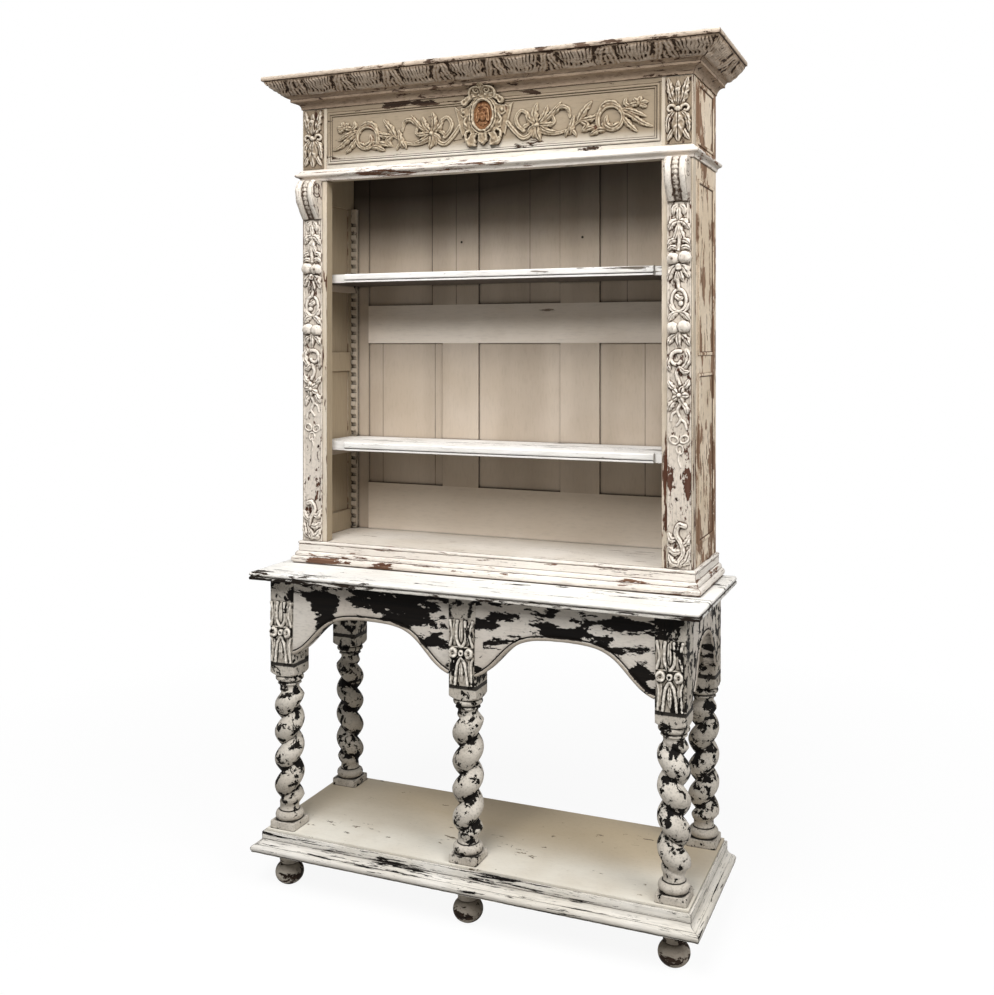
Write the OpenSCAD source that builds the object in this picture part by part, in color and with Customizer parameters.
// Two-part buffet: an open bookcase standing on a console with barley-twist columns.
// X runs along the width, -Y is the front, Z is up. The origin is the middle of the footprint, on the floor.

/* [Stand] */
// Height of the stand to the top of its board
stand_h = 849; // [780:1:900]
// Width over the outer faces of the post blocks
stand_w = 1138; // [1110:1:1300]
// Depth over the outer faces of the post blocks
stand_d = 400; // [380:1:480]
// Thickness of the board on top of the stand
stand_top_t = 20; // [16:1:30]
// How far that board stands out past the post blocks at the front and sides
top_overhang = 40; // [20:1:60]
// Side of the square post blocks and plinths
post_w = 76; // [66:1:84]
// Height of the post blocks down to the turned shoulder
post_block_h = 263; // [230:1:290]

/* [Aprons] */
// Thickness of the arched aprons between the posts
apron_t = 28; // [18:1:36]
// Height of an apron where it meets a post
apron_h = 199; // [160:1:220]
// Rise of the arch above the foot of the apron
arch_rise = 110; // [70:1:130]
// Width of the bead that follows the arch
arch_bead_w = 9; // [5:1:14]
// How far that bead stands proud of the apron
arch_bead_t = 3; // [1:0.5:5]
// Height of the straight apron at the back
back_apron_h = 110; // [80:1:150]
// Length of the tenons that join the aprons to the posts
tenon_l = 14; // [8:1:20]
// Thickness of those tenons
tenon_t = 9; // [6:1:12]

/* [Columns] */
// Height of the square plinth under a column
column_plinth_h = 19; // [14:1:34]
// Height of the torus on the plinth
torus_h = 28; // [20:1:36]
// Radius that the torus reaches
torus_r = 38; // [36:1:46]
// Radius that the crest of the twist reaches
twist_r = 40; // [38:0.5:48]
// Radius of the valley between two turns
valley_r = 20.5; // [16:0.5:28]
// Height that one turn of the twist climbs
twist_pitch = 72; // [50:1:100]
// Radius of the necks above and below the twist
neck_r = 26; // [22:1:32]
// Height of the neck above the torus
neck_h = 13; // [8:1:24]
// Height of the turned collar under the post block
collar_h = 17; // [12:1:24]
// Radius that the collar reaches
collar_r = 38; // [36:1:46]
// Height of the flare under the collar
flare_h = 19; // [10:1:30]

/* [Base] */
// Height of the bun feet
foot_h = 98; // [70:1:120]
// Diameter of the bun feet
foot_d = 77; // [70:1:100]
// Thickness of the deck
deck_t = 22; // [16:1:30]
// How far the deck stands out past the columns' plinths
deck_reveal = 7; // [3:1:15]
// Height of the deck's edge above the base moulding
deck_lip = 6; // [3:1:10]
// Height of the base moulding
base_h = 51; // [40:1:70]
// How far the base moulding stands out past the deck
base_out = 31; // [20:1:36]
// Width of the frame under the deck
base_frame_w = 90; // [86:1:110]

/* [Upper case] */
// Width of the case over its sides
case_w = 1107; // [1000:1:1130]
// Depth of the case
case_d = 268; // [230:1:330]
// Height of the moulded plinth of the case
plinth_h = 61; // [50:1:80]
// Height of the opening for the shelves
opening_h = 1004; // [800:1:1100]
// Height of the moulding above the opening
waist_h = 32; // [24:1:40]
// Height of the frieze
frieze_h = 170; // [140:1:200]
// Height of the cornice
cornice_h = 83; // [70:1:100]
// How far the cornice stands out
cornice_out = 83; // [60:1:96]
// How far the plinth moulding of the case stands out
plinth_out = 24; // [18:1:30]
// How far the moulding above the opening stands out
waist_out = 17; // [12:1:24]
// Thickness of the framed sides
side_t = 21; // [18:1:28]
// Width of the front stiles
stile_w = 78; // [70:1:90]
// Thickness of the front stiles
stile_t = 28; // [20:1:34]
// Thickness of the case floor
floor_t = 22; // [16:1:28]
// Thickness of the board that closes the top
case_top_t = 20; // [14:1:26]

/* [Side frames] */
// Width of the side frame's front stile
side_front_w = 27; // [20:1:50]
// Width of the side frame's back stile
side_back_w = 40; // [30:1:60]
// Height of the lower side panel
side_low_panel_h = 413; // [300:1:440]
// Height of the middle rail of the side
side_mid_rail_h = 55; // [40:1:80]
// Height of the upper side panel
side_up_panel_h = 426; // [300:1:440]
// Height of the bottom rail of the side, from the foot of the case
side_bottom_rail_h = 119; // [90:1:150]
// Thickness of the panels
panel_t = 9; // [6:1:12]
// Depth of the grooves that hold the panels
groove_d = 7; // [5:1:9]
// Width of the bead round the panels on the outer side
panel_bead_w = 10; // [6:1:16]
// How far that bead stands proud
panel_bead_t = 3; // [1:0.5:5]
// How far the panels lie behind the outer face of their frame
panel_reveal = 1.5; // [1:0.5:6]

/* [Back frame] */
// Thickness of the back frame
back_t = 20; // [16:1:26]
// Width of the stiles of the back
back_stile_w = 50; // [36:1:70]
// Height of the bottom rail of the back
back_bottom_rail_h = 199; // [120:1:220]
// Height of the lower row of panels
back_low_panel_h = 415; // [300:1:430]
// Height of the middle rail of the back
back_mid_rail_h = 111; // [80:1:130]
// Height of the top rail of the back
back_top_rail_h = 100; // [60:1:120]
// Width of the muntins between the panels
muntin_w = 113; // [80:1:130]
// Distance from the middle to the centre of a muntin
muntin_x = 181; // [150:1:220]
// Extra width of the upper left muntin, which was cut from a wider board
wide_muntin = 32; // [0:1:40]

/* [Carvings] */
// Width of the carved pilasters and corbels
pilaster_w = 60; // [50:1:64]
// Thickness of the pilasters' ground
pilaster_t = 5; // [3:1:8]
// Height of the relief on the pilasters
relief_h = 12; // [5:1:14]
// Height of the corbels
corbel_h = 106; // [80:1:130]
// How far the corbels stand out
corbel_out = 52; // [40:1:64]
// Height of the carved plaques on the posts
post_plaque_h = 166; // [140:1:180]
// Width of those plaques
post_plaque_w = 68; // [56:1:70]
// Thickness of the applied plaques
plaque_t = 6; // [4:1:9]
// Width of the cartouche
cartouche_w = 166; // [140:1:190]
// Height of the cartouche
cartouche_h = 168; // [150:1:180]
// Thickness of the cartouche
cartouche_t = 12; // [8:1:20]
// Height of the oval medallion
medallion_h = 74; // [60:1:84]

/* [Shelves] */
// Thickness of the shelves
shelf_t = 24; // [18:1:28]
// Width of the moulded lip on the front of a shelf
shelf_lip_w = 888; // [800:1:920]
// Depth of that lip
shelf_lip_d = 15; // [8:1:18]
// Number of the notch that carries the lower shelf
lower_notch = 9; // [4:1:14]
// Number of the notch that carries the upper shelf
upper_notch = 28; // [20:1:32]
// Height from one notch of the racks to the next
rack_pitch = 24.8; // [22:0.1:27]
// Thickness of the notched racks
rack_t = 16; // [14:1:22]
// Width of the racks
rack_w = 18; // [16:1:24]
// Depth of the notches
notch_d = 6; // [5:1:9]
// Height of the battens that carry the shelves
batten_h = 20; // [15:1:21]
// Thickness of the battens
batten_t = 14; // [12:1:19]
// How far the shelves' ears lie behind the stiles
shelf_set = 25.5; // [24:0.5:36]

/* [Hidden] */

// Clearance between pieces that move apart
gap = 0.3;

// Depth of the whole footprint, its back plane and the faces of the post blocks
total_d = stand_d + top_overhang + deck_reveal;
back_y = total_d / 2;
post_back_y = back_y - deck_reveal;
post_front_y = post_back_y - stand_d;
case_front_y = back_y - case_d;

// Heights in the stand
base_z = foot_h;
deck_z = base_z + base_h + deck_lip;
post_top_z = stand_h - stand_top_t;
shoulder_z = post_top_z - post_block_h;
apron_foot_z = post_top_z - apron_h;

// Heights in the upper case
case_z = stand_h + gap;
floor_z = case_z + plinth_h;
lintel_z = floor_z + opening_h;
waist_top_z = lintel_z + waist_h;
frieze_top_z = waist_top_z + frieze_h;
top_z = frieze_top_z + cornice_h;
frame_top_z = top_z - case_top_t;

// Half widths
post_x = stand_w / 2;
column_x = post_x - post_w / 2;
column_front_y = post_front_y + post_w / 2;
column_back_y = post_back_y - post_w / 2;
deck_x = post_x + deck_reveal;
deck_front_y = post_front_y - deck_reveal;
case_x = case_w / 2;
inner_x = case_x - side_t;
stile_x = case_x - stile_w;
pilaster_x = case_x - stile_w / 2 + 5;
stile_back_y = case_front_y + stile_t;
back_face_y = back_y - back_t;
groove_w = panel_t - 3;

// Colours of the paint as it shows on each part
paint = [0.90, 0.87, 0.82];
worn_paint = [0.74, 0.70, 0.64];
inside_paint = [0.60, 0.54, 0.47];
shelf_paint = [0.95, 0.94, 0.92];
bare_wood = [0.36, 0.26, 0.20];
copper_paint = [0.62, 0.33, 0.22];

// Points along an arc, from angle a0 to a1
function arc(cx, cy, r, a0, a1, n) =
    [for (i = [0 : n]) let (a = a0 + (a1 - a0) * i / n) [cx + r * cos(a), cy + r * sin(a)]];

// Moulding sections: x is how far a point stands out, y is its height above the moulding's foot
function base_section() = concat(
    [[-base_frame_w, 0], [base_out, 0]],
    arc(base_out - 10, 10, 10, 0, 90, 5),
    arc(base_out - 10, 33, 13, 270, 180, 5),
    [[8, base_h - 16], [8, base_h], [0, base_h], [0, base_h + deck_lip - deck_t],
     [-base_frame_w, base_h + deck_lip - deck_t]]);
function plinth_section() = concat(
    [[0, 0]],
    arc(plinth_out - 10, 11, 10, -90, 90, 8),
    [[plinth_out - 7, 23]],
    arc(8, 25, plinth_out - 15, 0, 90, 5),
    [[8, plinth_h - 9]],
    arc(8, plinth_h - 5, 4, -90, 90, 6),
    [[0, plinth_h - 1]]);
function waist_section() = concat(
    [[0, 0], [4, 0], [4, 3]],
    arc(12, 3, 8, 180, 90, 4),
    arc(waist_out - 5, 16, 5, -90, 90, 6),
    [[waist_out - 7, 21], [3, waist_h - 2], [0, waist_h]]);
function cornice_section() = concat(
    [[0, 0], [3, 0]],
    arc(22, 0, 19, 180, 90, 6),
    [[25, 19], [25, 27], [31, 33]],
    [for (i = [1 : 7]) let (t = i / 8)
        [31 + (cornice_out - 35) * t, 33 + (cornice_h - 45) * (t - 0.08 * sin(180 * t))]],
    [[cornice_out - 4, cornice_h - 12], [cornice_out, cornice_h - 12], [cornice_out, cornice_h],
     [0, cornice_h]]);

// A moulding along the front, mitred at both ends; half is the distance from the middle to the side face
module front_moulding(section, half, face_y, z0, inner, reach) {
    intersection() {
        translate([0, face_y, z0]) rotate([90, 0, -90])
            linear_extrude(2 * (half + reach), center = true) polygon(section);
        translate([0, face_y, z0 - 1]) linear_extrude(cornice_h + base_h + plinth_h)
            polygon([[-half + inner, inner], [half - inner, inner],
                     [half + reach, -reach], [-half - reach, -reach]]);
    }
}

// The right-hand return of the same moulding, mitred at the front and cut square at the back
module side_moulding(section, half, face_y, z0, inner, reach) {
    run = back_y - face_y + reach;
    intersection() {
        translate([half, back_y, z0]) rotate([90, 0, 0]) linear_extrude(run) polygon(section);
        translate([half, face_y, z0 - 1]) linear_extrude(cornice_h + base_h + plinth_h)
            polygon([[-inner, inner], [reach, -reach], [reach, run], [-inner, run]]);
    }
}

module box(x0, x1, y0, y1, z0, z1) {
    translate([x0, y0, z0]) cube([x1 - x0, y1 - y0, z1 - z0]);
}

// Bun foot with a narrow neck and a flared collar under the base
function foot_section() = let (r = foot_d / 2, ball = foot_h * 0.62, half = ball * 0.535, low = ball * 0.485)
    concat([[0, 0]],
        [for (i = [0 : 12]) let (z = ball * 0.92 * i / 12) [r * sqrt(1 - pow((z - low) / half, 2)), z]],
        [[neck_r, ball * 0.95], [neck_r, ball]],
        arc(neck_r + 17, ball, 17, 180, 120, 4),
        [[r, foot_h - 12], [r, foot_h], [0, foot_h]]);

module foot(x, y) {
    color(worn_paint) translate([x, y, 0]) rotate_extrude($fn = 48) polygon(foot_section());
}

module base_moulding_front() {
    color(paint)
        front_moulding(base_section(), deck_x, deck_front_y, base_z, base_frame_w, base_out);
}

module base_moulding_right() {
    color(paint)
        side_moulding(base_section(), deck_x, deck_front_y, base_z, base_frame_w, base_out);
}

module base_moulding_left() {
    mirror([1, 0, 0]) base_moulding_right();
}

module base_rail_back() {
    color(worn_paint)
        box(-deck_x + base_frame_w, deck_x - base_frame_w, back_y - base_frame_w, back_y,
            base_z, deck_z - deck_t);
}

// The deck carries the columns, each with its tenon in a round mortise
pin_r = 11;
pin_l = 14;
column_places = [[-column_x, column_front_y], [0, column_front_y], [column_x, column_front_y],
    [-column_x, column_back_y], [column_x, column_back_y]];

module base_deck() {
    color(paint) difference() {
        box(-deck_x, deck_x, deck_front_y, back_y, deck_z - deck_t, deck_z);
        for (p = column_places)
            translate([p[0], p[1], deck_z - pin_l - gap]) cylinder(h = pin_l + 1, r = pin_r + gap, $fn = 32);
    }
}

// Barley twist: one start, with a round crest and a sharp valley, that fades into the necks
twist_z = deck_z + column_plinth_h + torus_h + neck_h;
twist_h = shoulder_z - collar_h - flare_h - twist_z;
twist_fade = 20;
twist_sides = 20;
twist_rings = ceil(twist_h / twist_pitch * 12);

function twist_radius(a, z) =
    let (fade = min(1, min(z, twist_h - z) / twist_fade),
         crest = pow(abs(cos(a / 2)), 0.85))
    (neck_r - 0.5) * (1 - fade) + (valley_r + (twist_r - valley_r) * crest) * fade;

module twist(hand, turn) {
    points = [for (j = [0 : twist_rings]) for (i = [0 : twist_sides - 1])
        let (z = twist_h * j / twist_rings,
             a = 360 * i / twist_sides,
             r = twist_radius(a - turn - hand * 360 * z / twist_pitch, z))
        [r * cos(a), r * sin(a), z]];
    n = twist_sides;
    sides = [for (j = [0 : twist_rings - 1]) for (i = [0 : n - 1])
        let (p = j * n + i, q = j * n + (i + 1) % n)
        each [[p, p + n, q + n], [p, q + n, q]]];
    bottom = [[for (i = [0 : n - 1]) i]];
    top = [[for (i = [n - 1 : -1 : 0]) twist_rings * n + i]];
    polyhedron(points, concat(sides, bottom, top));
}

// Everything on a column that the lathe makes, apart from the twist
module turned_foot() {
    rotate_extrude($fn = 64) polygon(concat(
        [[0, -pin_l], [pin_r, -pin_l], [pin_r, 1], [pin_r + 4, column_plinth_h - 1]],
        [[torus_r - 8, column_plinth_h]],
        arc(torus_r - torus_h / 2 + 2, column_plinth_h + torus_h / 2 - 1, torus_h / 2 - 2, -70, 90, 8),
        [[neck_r, column_plinth_h + torus_h], [neck_r, column_plinth_h + torus_h + neck_h],
         [0, column_plinth_h + torus_h + neck_h]]));
}

module turned_collar() {
    rotate_extrude($fn = 64) polygon(concat(
        [[0, 0], [neck_r, 0]],
        arc(neck_r + flare_h * 0.42, 4, flare_h * 0.42, 180, 100, 5),
        [[collar_r - collar_h / 2, flare_h]],
        arc(collar_r - collar_h / 2 + 1, flare_h + collar_h / 2, collar_h / 2 - 1, -90, 90, 8),
        [[post_w / 2 - 1, flare_h + collar_h], [0, flare_h + collar_h + 4]]));
}

// The square block, with its corners turned away at the shoulder
module post_block() {
    half = post_w / 2;
    intersection() {
        translate([-half, -half, 0]) cube([post_w, post_w, post_block_h]);
        rotate_extrude($fn = 64)
            polygon([[0, 0], [half + 0.5, 0], [half * 1.45, half * 0.42], [half * 1.45, post_block_h],
                     [0, post_block_h]]);
    }
}

// Mortises in a post block: sides is a list of the directions that an apron comes from
module mortises(sides) {
    half = post_w / 2;
    depth = tenon_l + gap;
    for (s = sides)
        rotate([0, 0, s[0]]) translate([half - depth, s[1], shoulder_z + post_block_h - s[2]])
            cube([depth + 1, tenon_t + 2 * gap, s[3] + 2 * gap]);
}

module column(place, hand, turn, sides) {
    color(worn_paint) translate([place[0], place[1], 0]) difference() {
        union() {
            translate([-post_w / 2, -post_w / 2, deck_z]) cube([post_w, post_w, column_plinth_h]);
            translate([0, 0, deck_z]) turned_foot();
            translate([0, 0, twist_z]) twist(hand, turn);
            translate([0, 0, twist_z + twist_h]) turned_collar();
            translate([0, 0, shoulder_z]) post_block();
        }
        mortises(sides);
    }
}

// How far a tenon runs back into its board, so that the two are one piece
tenon_root = 5;

// Where the tenons sit, as [direction, offset, top of the mortise below the block's top, height]
tenon_h = 60;
tenon_drop = 18;
front_off = -post_w / 2 + (apron_t - tenon_t) / 2 - gap;
mortise = [tenon_drop + tenon_h + gap, tenon_h];
function slot(direction, flip) =
    [direction, flip ? -front_off - tenon_t - 2 * gap : front_off, mortise[0], mortise[1]];

module column_front_left() {
    column(column_places[0], 1, 213 - 360 * (481 - twist_z) / twist_pitch, [slot(0, false), slot(90, true)]);
}
module column_front_middle() {
    column(column_places[1], 1, -20, [slot(0, false), slot(180, true)]);
}
module column_front_right() {
    column(column_places[2], -1, 145, [slot(180, true), slot(90, false)]);
}
module column_back_left() {
    column(column_places[3], -1, 225, [slot(0, true), slot(270, false)]);
}
module column_back_right() {
    column(column_places[4], 1, 225, [slot(180, false), slot(270, true)]);
}

// Applied plaques on the three front posts: a ground, a leaf above and below, three rosettes between
function leaf(l, w, n) = [for (i = [0 : 2 * n - 1])
    let (t = i < n ? i / n : 2 - i / n, s = i < n ? 1 : -1)
    [s * w / 2 * pow(sin(180 * t), 0.7) * (1.15 - 0.3 * t), l * t]];

module post_plaque() {
    mid = post_plaque_h / 2;
    rosette = post_plaque_w / 6 - 1;
    rotate([90, 0, 0]) {
        translate([-post_plaque_w / 2, 0, 0]) cube([post_plaque_w, post_plaque_h, plaque_t / 2]);
        for (s = [-1, 0, 1])
            translate([s * post_plaque_w / 3, mid, plaque_t / 2])
                cylinder(h = plaque_t, r = rosette, $fn = 24);
        for (s = [-1, 1]) for (m = [0, 1])
            translate([s * post_plaque_w / 4, mid, plaque_t / 2]) mirror([0, m, 0])
                translate([0, rosette + 2, 0]) linear_extrude(plaque_t / 2)
                    polygon(leaf(mid - rosette - 5, post_plaque_w / 2 - 4, 6));
    }
}

module post_plaques() {
    color(worn_paint) for (x = [-column_x, 0, column_x])
        translate([x, post_front_y, post_top_z - 59 - post_plaque_h]) post_plaque();
}

// The S-curved arch: flat at the crown, steep at the shoulder and flat again at the foot
arch_shoulder = 0.715;
arch_sharp = 8;
function arch_step(t) = 1 / (1 + exp(arch_sharp * (t - arch_shoulder)));
function arch_height(t) = arch_rise * (arch_step(t) - arch_step(1)) / (arch_step(0) - arch_step(1));
function arch_points(span, n) = concat(
    [for (i = [-n : n]) [span / 2 * i / n, arch_height(abs(i) / n)]],
    [[span / 2, -20], [-span / 2, -20]]);

module apron(span) {
    linear_extrude(apron_t) difference() {
        translate([-span / 2, 0]) square([span, apron_h]);
        polygon(arch_points(span, 14));
    }
    translate([0, 0, apron_t]) linear_extrude(arch_bead_t) intersection() {
        difference() {
            offset(r = arch_bead_w, $fn = 16) polygon(arch_points(span, 14));
            polygon(arch_points(span, 14));
        }
        translate([-span / 2, 0]) square([span, apron_h]);
    }
    for (m = [0, 1])
        mirror([m, 0, 0])
            translate([span / 2 - tenon_root, apron_h - tenon_drop - tenon_h, (apron_t - tenon_t) / 2])
                cube([tenon_root + tenon_l, tenon_h, tenon_t]);
}

bay_w = (stand_w - 3 * post_w) / 2;
side_bay = stand_d - 2 * post_w;

module apron_front(side) {
    color(worn_paint) translate([side * (bay_w + post_w) / 2, post_front_y + apron_t, apron_foot_z])
        rotate([90, 0, 0]) apron(bay_w);
}
module apron_front_left() {
    apron_front(-1);
}
module apron_front_right() {
    apron_front(1);
}
module apron_right() {
    color(worn_paint) translate([post_x - apron_t, post_back_y - stand_d / 2, apron_foot_z])
        rotate([90, 0, 90]) apron(side_bay);
}
module apron_left() {
    mirror([1, 0, 0]) apron_right();
}

// The back apron is a plain straight rail
module apron_back() {
    inner = column_x - post_w / 2;
    y = post_back_y - (apron_t + tenon_t) / 2;
    color(worn_paint) {
        box(-inner, inner, post_back_y - apron_t, post_back_y, post_top_z - back_apron_h, post_top_z);
        for (m = [0, 1])
            mirror([m, 0, 0])
                translate([inner - tenon_root, y, post_top_z - tenon_drop - tenon_h])
                    cube([tenon_root + tenon_l, tenon_t, tenon_h]);
    }
}

// The stand's board, with a rounded upper edge and a quirk under it
dowel_r = 4;
dowel_l = 10;
dowel_y = [stile_back_y + 60, back_y - 40];
dowel_x = case_x - side_t / 2;

function top_section() = concat(
    [[-30, 0], [-1, 0], [0, 1], [0, stand_top_t * 0.36], [-2, stand_top_t * 0.38], [-2, stand_top_t * 0.46]],
    arc(-stand_top_t * 0.27, stand_top_t * 0.73, stand_top_t * 0.27, -90, 90, 8),
    [[-30, stand_top_t]]);

module stand_top() {
    half = post_x + top_overhang;
    front = post_front_y - top_overhang;
    color(paint) difference() {
        union() {
            box(-half + 30, half - 30, front + 30, back_y, post_top_z, stand_h);
            front_moulding(top_section(), half, front, post_top_z, 30, 1);
            side_moulding(top_section(), half, front, post_top_z, 30, 1);
            mirror([1, 0, 0]) side_moulding(top_section(), half, front, post_top_z, 30, 1);
        }
        for (s = [-1, 1]) for (y = dowel_y)
            translate([s * dowel_x, y, stand_h - dowel_l]) cylinder(h = dowel_l + 1, r = dowel_r, $fn = 32);
    }
}

module locating_dowels() {
    color(bare_wood) for (s = [-1, 1]) for (y = dowel_y)
        translate([s * dowel_x, y, stand_h - dowel_l]) cylinder(h = 2 * dowel_l, r = dowel_r, $fn = 32);
}

// The moulded plinth of the upper case, in three mitred lengths
module plinth_mouldings() {
    color(paint) {
        front_moulding(plinth_section(), case_x, case_front_y, case_z, 0, plinth_out);
        side_moulding(plinth_section(), case_x, case_front_y, case_z, 0, plinth_out);
        mirror([1, 0, 0]) side_moulding(plinth_section(), case_x, case_front_y, case_z, 0, plinth_out);
    }
}

module bottom_rail() {
    color(paint) box(-stile_x, stile_x, case_front_y, stile_back_y, case_z, floor_z - floor_t);
}

module case_floor() {
    color(paint) {
        box(-inner_x, inner_x, stile_back_y, back_face_y, floor_z - floor_t, floor_z);
        box(-stile_x, stile_x, case_front_y, stile_back_y, floor_z - floor_t, floor_z);
    }
}

module stile_front_right() {
    color(paint) box(stile_x, case_x, case_front_y, stile_back_y, case_z, frame_top_z);
}
module stile_front_left() {
    mirror([1, 0, 0]) stile_front_right();
}

// Openings of the side frame, as [bottom, top]
side_panel_z = [
    [case_z + side_bottom_rail_h, case_z + side_bottom_rail_h + side_low_panel_h],
    [case_z + side_bottom_rail_h + side_low_panel_h + side_mid_rail_h,
     case_z + side_bottom_rail_h + side_low_panel_h + side_mid_rail_h + side_up_panel_h],
    [waist_top_z + 12, frieze_top_z - 12]];
side_open_y = [stile_back_y + side_front_w, back_y - side_back_w];

// The framed side: stiles and rails round three grooved openings, with a bead on the outside
module side_frame_right() {
    groove_x = case_x - panel_reveal - (panel_t + groove_w) / 2;
    y0 = side_open_y[0];
    y1 = side_open_y[1];
    color(paint) {
        difference() {
            box(inner_x, case_x, stile_back_y, back_y, case_z, frame_top_z);
            for (p = side_panel_z) {
                box(inner_x - 1, case_x + 1, y0, y1, p[0], p[1]);
                box(groove_x, groove_x + groove_w, y0 - groove_d, y1 + groove_d, p[0] - groove_d,
                    p[1] + groove_d);
            }
            for (y = dowel_y)
                translate([dowel_x, y, case_z - 1]) cylinder(h = dowel_l + 2, r = dowel_r + gap, $fn = 32);
        }
        for (p = side_panel_z)
            translate([case_x, (y0 + y1) / 2, (p[0] + p[1]) / 2]) rotate([90, 0, 90])
                linear_extrude(panel_bead_t) difference() {
                    square([y1 - y0 + panel_bead_w, p[1] - p[0] + panel_bead_w], center = true);
                    square([y1 - y0, p[1] - p[0]], center = true);
                }
    }
}
module side_frame_left() {
    mirror([1, 0, 0]) side_frame_right();
}

// A panel with a tongue all round that fills the groove of its frame
module grooved_panel(w, h) {
    slip = 0.2;
    tongue = groove_w - 2 * slip;
    translate([-w / 2, -h / 2, -panel_t / 2]) cube([w, h, panel_t]);
    translate([-w / 2 - groove_d + slip, -h / 2 - groove_d + slip, -tongue / 2])
        cube([w + 2 * (groove_d - slip), h + 2 * (groove_d - slip), tongue]);
}

module side_panels_right() {
    y0 = side_open_y[0];
    y1 = side_open_y[1];
    color(paint) for (p = side_panel_z)
        translate([case_x - panel_reveal - panel_t / 2, (y0 + y1) / 2, (p[0] + p[1]) / 2])
            rotate([90, 0, 90]) grooved_panel(y1 - y0, p[1] - p[0]);
}
module side_panels_left() {
    mirror([1, 0, 0]) side_panels_right();
}

// Levels and columns of the framed back
back_low_z = case_z + back_bottom_rail_h;
back_mid_z = back_low_z + back_low_panel_h;
back_up_z = back_mid_z + back_mid_rail_h;
back_top_z = frame_top_z - back_top_rail_h;
back_groove_y = back_face_y + (back_t - groove_w) / 2;
back_inner = inner_x - back_stile_w;

// A member of the back with grooves cut into chosen edges
module back_member(x0, x1, z0, z1, left, right, below, above) {
    difference() {
        box(x0, x1, back_face_y, back_y, z0, z1);
        if (left) box(x0 - 1, x0 + groove_d, back_groove_y, back_groove_y + groove_w, z0 - 1, z1 + 1);
        if (right) box(x1 - groove_d, x1 + 1, back_groove_y, back_groove_y + groove_w, z0 - 1, z1 + 1);
        if (below) box(x0 - 1, x1 + 1, back_groove_y, back_groove_y + groove_w, z0 - 1, z0 + groove_d);
        if (above) box(x0 - 1, x1 + 1, back_groove_y, back_groove_y + groove_w, z1 - groove_d, z1 + 1);
    }
}

module back_stiles() {
    color(inside_paint) {
        back_member(-inner_x, -back_inner, case_z, frame_top_z, false, true, false, false);
        back_member(back_inner, inner_x, case_z, frame_top_z, true, false, false, false);
    }
}
module back_rail_bottom() {
    color(inside_paint) back_member(-back_inner, back_inner, case_z, back_low_z, false, false, false, true);
}
module back_rail_middle() {
    color(inside_paint) back_member(-back_inner, back_inner, back_mid_z, back_up_z, false, false, true, true);
}
module back_rail_top() {
    color(inside_paint)
        back_member(-back_inner, back_inner, back_top_z, frame_top_z, false, false, true, false);
}

// Edges of the muntins in each row, as [left edge, right edge]
low_muntins = [[-muntin_x - muntin_w / 2, -muntin_x + muntin_w / 2],
    [muntin_x - muntin_w / 2, muntin_x + muntin_w / 2]];
up_muntins = [[low_muntins[0][0] - wide_muntin, low_muntins[0][1]], low_muntins[1]];

module back_muntins() {
    color(inside_paint) {
        for (m = low_muntins) back_member(m[0], m[1], back_low_z, back_mid_z, true, true, false, false);
        for (m = up_muntins) back_member(m[0], m[1], back_up_z, back_top_z, true, true, false, false);
    }
}

module back_panel_row(muntins, z0, z1) {
    edges = [[-back_inner, muntins[0][0]], [muntins[0][1], muntins[1][0]], [muntins[1][1], back_inner]];
    for (e = edges)
        translate([(e[0] + e[1]) / 2, back_face_y + back_t / 2, (z0 + z1) / 2])
            rotate([90, 0, 0]) back_panel(e[1] - e[0], z1 - z0);
}

// Muntins have no groove where they meet a rail, so these panels have tongues that stop at the corners
module back_panel(w, h) {
    slip = 0.2;
    tongue = groove_w - 2 * slip;
    translate([-w / 2, -h / 2, -panel_t / 2]) cube([w, h, panel_t]);
    translate([-w / 2 - groove_d + slip, -h / 2, -tongue / 2])
        cube([w + 2 * (groove_d - slip), h, tongue]);
    translate([-w / 2, -h / 2 - groove_d + slip, -tongue / 2])
        cube([w, h + 2 * (groove_d - slip), tongue]);
}

module back_panels() {
    color(inside_paint) {
        back_panel_row(low_muntins, back_low_z, back_mid_z);
        back_panel_row(up_muntins, back_up_z, back_top_z);
    }
}

// The frieze between the stiles
module frieze_rail() {
    color(paint) box(-stile_x, stile_x, case_front_y, stile_back_y, lintel_z, frame_top_z);
}

// Rectangular bead round the field of the frieze, stopped either side of the cartouche
bead_w = 15;
bead_t = 6;
field_x = stile_x - 3;
field_z = [waist_top_z + 11, frieze_top_z - 13];

module frieze_bead() {
    h = field_z[1] - field_z[0];
    color(paint) translate([0, case_front_y, (field_z[0] + field_z[1]) / 2]) rotate([90, 0, 0]) {
        linear_extrude(bead_t) difference() {
            square([2 * field_x, h], center = true);
            square([2 * (field_x - bead_w), h - 2 * bead_w], center = true);
            translate([-cartouche_w / 2 - gap, 0]) square([cartouche_w + 2 * gap, h]);
        }
    }
}

// Applied foliage: a waving stem with leaves that spring from each bend
stem_x0 = cartouche_w / 2 + 6;
stem_x1 = field_x - bead_w - 12;
stem_wave = 22;
stem_w = 8;
long_leaf = 44;
short_leaf = 34;
field_mid_z = (field_z[0] + field_z[1]) / 2;

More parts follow.
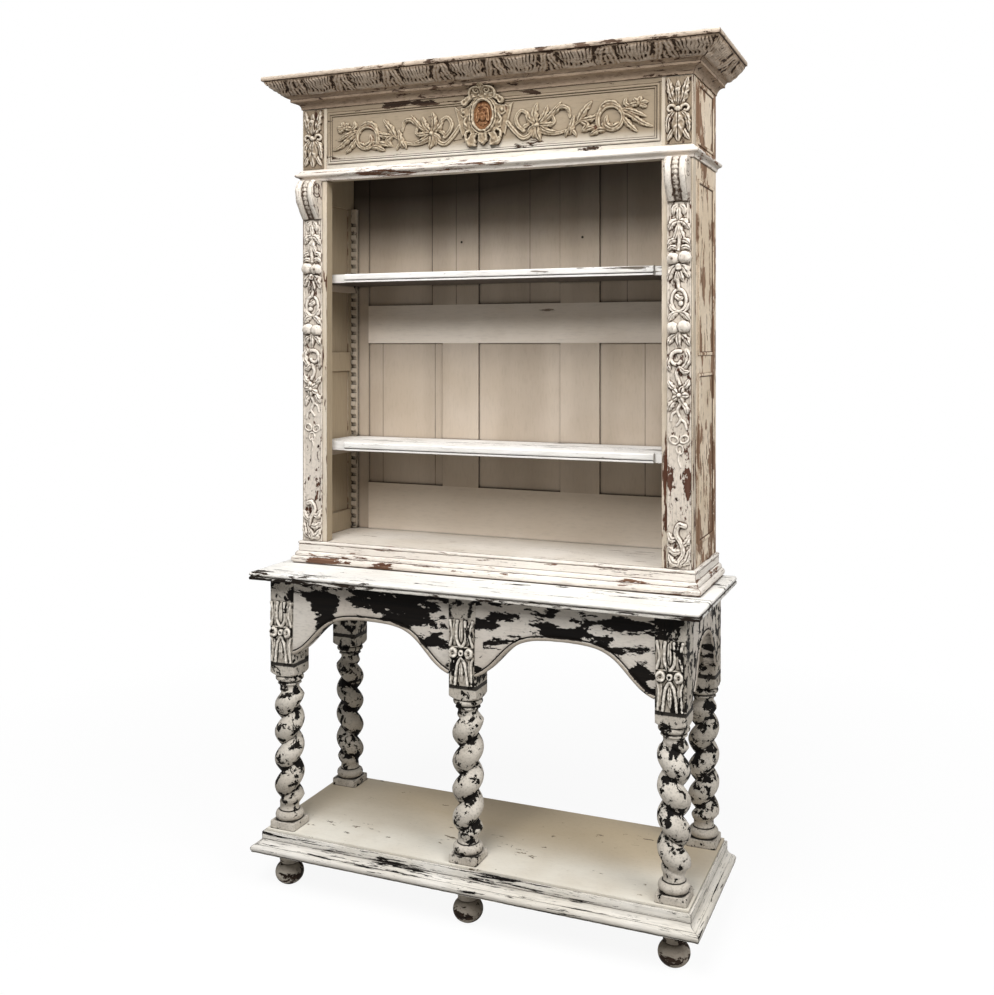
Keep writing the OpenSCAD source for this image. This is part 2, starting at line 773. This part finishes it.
module foliage() {
    run = stem_x1 - stem_x0;
    n = 24;
    upper = [for (i = [0 : n]) [run * i / n, stem_wave * sin(540 * i / n) + stem_w / 2]];
    lower = [for (i = [n : -1 : 0]) [run * i / n, stem_wave * sin(540 * i / n) - stem_w / 2]];
    linear_extrude(relief_h) {
        polygon(concat(upper, lower));
        for (k = [0 : 5]) {
            t = (k + 0.5) / 6;
            s = k % 2 == 0 ? 1 : -1;
            translate([run * t, stem_wave * sin(540 * t)]) {
                rotate(s * 60 - 90) polygon(leaf(long_leaf, long_leaf * 0.45, 5));
                rotate(-s * 120 - 90) polygon(leaf(short_leaf, short_leaf * 0.47, 5));
            }
        }
    }
}

module frieze_carving() {
    color(paint) for (m = [0, 1]) mirror([m, 0, 0])
        translate([stem_x0, case_front_y, field_mid_z]) rotate([90, 0, 0]) foliage();
}

// Plaques at the ends of the frieze, over the stiles
frieze_plaque_w = 66;
module frieze_plaques() {
    h = frieze_h - 6;
    color(paint) for (m = [0, 1]) mirror([m, 0, 0])
        translate([case_x - frieze_plaque_w / 2 - 3, case_front_y, waist_top_z + 3]) rotate([90, 0, 0]) {
            translate([-frieze_plaque_w / 2, 0, 0]) cube([frieze_plaque_w, h, plaque_t / 2]);
            translate([0, h * 0.06, plaque_t / 2]) linear_extrude(plaque_t)
                polygon(leaf(h * 0.46, frieze_plaque_w * 0.7, 6));
            translate([0, h * 0.94, plaque_t / 2]) rotate([0, 0, 180]) linear_extrude(plaque_t)
                polygon(leaf(h * 0.36, frieze_plaque_w * 0.55, 6));
        }
}

// Strapwork cartouche in the middle of the frieze, and the oval medallion that it frames
medallion_z = waist_top_z + 112;
medallion_w = medallion_h * 0.7;
function oval(w, h, n) = [for (i = [0 : n - 1]) [w / 2 * cos(360 * i / n), h / 2 * sin(360 * i / n)]];

module strapwork(w, h) {
    polygon(oval(w * 0.62, h * 0.66, 32));
    for (s = [-1, 1]) {
        translate([s * w * 0.38, h * 0.12]) circle(r = w * 0.12, $fn = 24);
        translate([s * w * 0.38, -h * 0.20]) circle(r = w * 0.11, $fn = 24);
        translate([s * w * 0.16, h * 0.34]) circle(r = w * 0.10, $fn = 24);
        translate([s * w * 0.14, -h * 0.38]) circle(r = w * 0.10, $fn = 24);
        translate([s * w * 0.3, -h * 0.04]) square([w * 0.3, h * 0.22], center = true);
    }
}

// The crest leans forward, clear of the cove and fillet of the cornice
crest_w = 50;
crest_section = [[4, -8], [12, -12], [33, 10], [42, 31], [35, 32], [27, 14], [14, 2]];

module cartouche() {
    w = cartouche_w;
    top = frieze_top_z - medallion_z - gap;
    color(paint) {
        translate([0, case_front_y, medallion_z]) rotate([90, 0, 0]) linear_extrude(cartouche_t)
            difference() {
                intersection() {
                    strapwork(w, cartouche_h);
                    translate([-w / 2, top - cartouche_h]) square([w, cartouche_h]);
                }
                polygon(oval(medallion_w + 2 * gap, medallion_h + 2 * gap, 32));
            }
        translate([0, case_front_y, frieze_top_z]) rotate([90, 0, -90])
            linear_extrude(crest_w, center = true) polygon(crest_section);
    }
}

module medallion() {
    color(copper_paint) translate([0, case_front_y, medallion_z]) rotate([90, 0, 0]) {
        linear_extrude(cartouche_t) polygon(oval(medallion_w, medallion_h, 32));
        translate([0, 0, cartouche_t]) linear_extrude(3)
            polygon(oval(medallion_w * 0.7, medallion_h * 0.75, 32));
    }
}

module waist_mouldings() {
    color(paint) {
        front_moulding(waist_section(), case_x, case_front_y, lintel_z, 0, waist_out);
        side_moulding(waist_section(), case_x, case_front_y, lintel_z, 0, waist_out);
        mirror([1, 0, 0]) side_moulding(waist_section(), case_x, case_front_y, lintel_z, 0, waist_out);
    }
}

// How far carved pieces are sunk into their ground
seat = 1;

// A round fruit, carved a little over half out of the ground
module fruit(r) {
    rotate_extrude($fn = 32)
        polygon(concat([[0, 0], [r * 0.98, 0]], arc(0, r * 0.2 + seat, r, -11.5, 90, 8)));
}

// Carved pilaster: a ground strip with pairs of fruit and leaves, widest relief first
module pilaster_right() {
    run = opening_h - corbel_h;
    color(paint) translate([pilaster_x, case_front_y, floor_z]) {
        rotate([90, 0, 0]) {
            translate([-pilaster_w / 2, 0, 0]) cube([pilaster_w, run, pilaster_t]);
            translate([0, 0, pilaster_t - seat]) {
                linear_extrude(seat + relief_h * 0.6) polygon(leaf(run * 0.13, pilaster_w * 0.8, 6));
                for (t = [0.45, 0.66, 0.84])
                    translate([0, run * t, 0]) linear_extrude(seat + relief_h * 0.6)
                        polygon(leaf(run * 0.08, pilaster_w * 0.85, 6));
                for (t = [0.64, 0.84]) for (s = [-1, 1])
                    translate([s * pilaster_w * 0.23, run * t, 0]) fruit(pilaster_w * 0.24);
            }
        }
    }
}
module pilaster_left() {
    mirror([1, 0, 0]) pilaster_right();
}

// Scrolled corbel: it swells out from a rounded foot and rolls back under the moulding
corbel_foot = 0.28;
corbel_swell = 0.68;
corbel_groove = 5;
function corbel_reach(t) = corbel_foot + (1 - corbel_foot) *
    (t < corbel_swell ? sin(90 * t / corbel_swell) : sqrt(1 - pow((t - corbel_swell) / 0.36, 2)));
function corbel_side(out) = concat(
    [[0, 0]], [for (i = [0 : 14]) [out * corbel_reach(i / 14), corbel_h * i / 14]], [[0, corbel_h]]);

module corbel_right() {
    w = pilaster_w - 3;
    lobe = w * 0.32;
    color(paint) translate([pilaster_x, case_front_y, lintel_z - corbel_h]) rotate([90, 0, -90]) {
        linear_extrude(w, center = true) polygon(corbel_side(corbel_out - corbel_groove));
        for (s = [-1, 1])
            translate([0, 0, s * (w - lobe) / 2]) linear_extrude(lobe, center = true)
                polygon(corbel_side(corbel_out));
    }
}
module corbel_left() {
    mirror([1, 0, 0]) corbel_right();
}

module cornice_front() {
    color(paint) front_moulding(cornice_section(), case_x, case_front_y, frieze_top_z, 0, cornice_out);
}
module cornice_right() {
    color(paint) side_moulding(cornice_section(), case_x, case_front_y, frieze_top_z, 0, cornice_out);
}
module cornice_left() {
    mirror([1, 0, 0]) cornice_right();
}

module case_top() {
    color(paint) box(-case_x, case_x, case_front_y, back_y, frame_top_z, top_z);
}

// Notched racks in the four corners: each notch has a level floor and a slope above it
rack_z = floor_z + 7;
rack_top = case_z + side_bottom_rail_h + side_low_panel_h + side_mid_rail_h + side_up_panel_h;
notches = floor((rack_top - rack_z - 12) / rack_pitch);
notch_rise = 7;

function notch_floor(k) = rack_z + k * rack_pitch;
function rack_section() = concat(
    [[0, floor_z], [rack_w, floor_z]],
    [for (k = [0 : notches - 1]) each [[rack_w, notch_floor(k)], [rack_w - notch_d, notch_floor(k)],
        [rack_w - notch_d, notch_floor(k) + notch_rise], [rack_w, notch_floor(k) + notch_rise + notch_d]]],
    [[rack_w, rack_top], [0, rack_top]]);

module rack() {
    rotate([90, 0, 90]) linear_extrude(rack_t) polygon(rack_section());
}

module shelf_racks() {
    color(inside_paint) for (m = [0, 1]) mirror([m, 0, 0]) {
        translate([inner_x - rack_t, stile_back_y, 0]) rack();
        translate([inner_x - rack_t, back_face_y, 0]) mirror([0, 1, 0]) rack();
    }
}

// A batten: pointed ends that fill one notch of the front rack and one of the back rack
module batten(k) {
    y0 = stile_back_y + rack_w - notch_d + gap;
    y1 = back_face_y - rack_w + notch_d - gap;
    z0 = notch_floor(k) + gap;
    slope = batten_h - notch_rise + 2 * gap;
    color(inside_paint)
        translate([inner_x - batten_t, 0, 0]) rotate([90, 0, 90]) linear_extrude(batten_t - gap)
            polygon([[y0, z0], [y1, z0], [y1, z0 + notch_rise - 2 * gap], [y1 - slope, z0 + batten_h],
                     [y0 + slope, z0 + batten_h], [y0, z0 + notch_rise - 2 * gap]]);
}
module batten_upper_right() {
    batten(upper_notch);
}
module batten_upper_left() {
    mirror([1, 0, 0]) batten(upper_notch);
}
module batten_lower_right() {
    batten(lower_notch);
}
module batten_lower_left() {
    mirror([1, 0, 0]) batten(lower_notch);
}

// A shelf: ears reach the sides between the racks, and a moulded lip runs along the front
module shelf(k) {
    z0 = notch_floor(k) + batten_h + 2 * gap;
    ear_y = stile_back_y + shelf_set;
    back_ear_y = back_face_y - rack_w - 1.5;
    body_x = inner_x - rack_t - 1.5;
    lip = shelf_lip_w / 2;
    quirk = shelf_t * 0.3;
    color(shelf_paint) translate([0, 0, z0]) {
        linear_extrude(shelf_t) polygon([
            [-inner_x + 1, ear_y], [-lip, ear_y], [lip, ear_y], [inner_x - 1, ear_y],
            [inner_x - 1, back_ear_y], [body_x, back_ear_y], [body_x, back_face_y - 1],
            [-body_x, back_face_y - 1], [-body_x, back_ear_y], [-inner_x + 1, back_ear_y]]);
        translate([0, ear_y, 0]) rotate([90, 0, -90]) linear_extrude(shelf_lip_w, center = true)
            polygon([[0, 0], [shelf_lip_d - 2, 0], [shelf_lip_d - 1, 1], [shelf_lip_d - 1, quirk - 2],
                     [shelf_lip_d - 4, quirk - 1], [shelf_lip_d - 4, quirk], [shelf_lip_d - 1, quirk + 1],
                     [shelf_lip_d, quirk + 4], [shelf_lip_d, shelf_t - 4], [shelf_lip_d - 2, shelf_t - 1],
                     [shelf_lip_d - 5, shelf_t], [0, shelf_t]]);
    }
}
module upper_shelf() {
    shelf(upper_notch);
}
module lower_shelf() {
    shelf(lower_notch);
}

foot(-column_x, column_front_y);  // foot_front_left
foot(0, column_front_y);  // foot_front_middle
foot(column_x, column_front_y);  // foot_front_right
foot(-column_x, column_back_y);  // foot_back_left
foot(column_x, column_back_y);  // foot_back_right
base_moulding_front();
base_moulding_left();
base_moulding_right();
base_rail_back();
base_deck();
column_front_left();
column_front_middle();
column_front_right();
column_back_left();
column_back_right();
post_plaques();
apron_front_left();
apron_front_right();
apron_left();
apron_right();
apron_back();
stand_top();
locating_dowels();
plinth_mouldings();
bottom_rail();
case_floor();
stile_front_left();
stile_front_right();
side_frame_left();
side_frame_right();
side_panels_left();
side_panels_right();
back_stiles();
back_rail_top();
back_rail_middle();
back_rail_bottom();
back_muntins();
back_panels();
frieze_rail();
frieze_bead();
frieze_carving();
frieze_plaques();
cartouche();
medallion();
waist_mouldings();
pilaster_left();
pilaster_right();
corbel_left();
corbel_right();
cornice_front();
cornice_left();
cornice_right();
case_top();
shelf_racks();
upper_shelf();
lower_shelf();
batten_upper_left();
batten_upper_right();
batten_lower_left();
batten_lower_right();
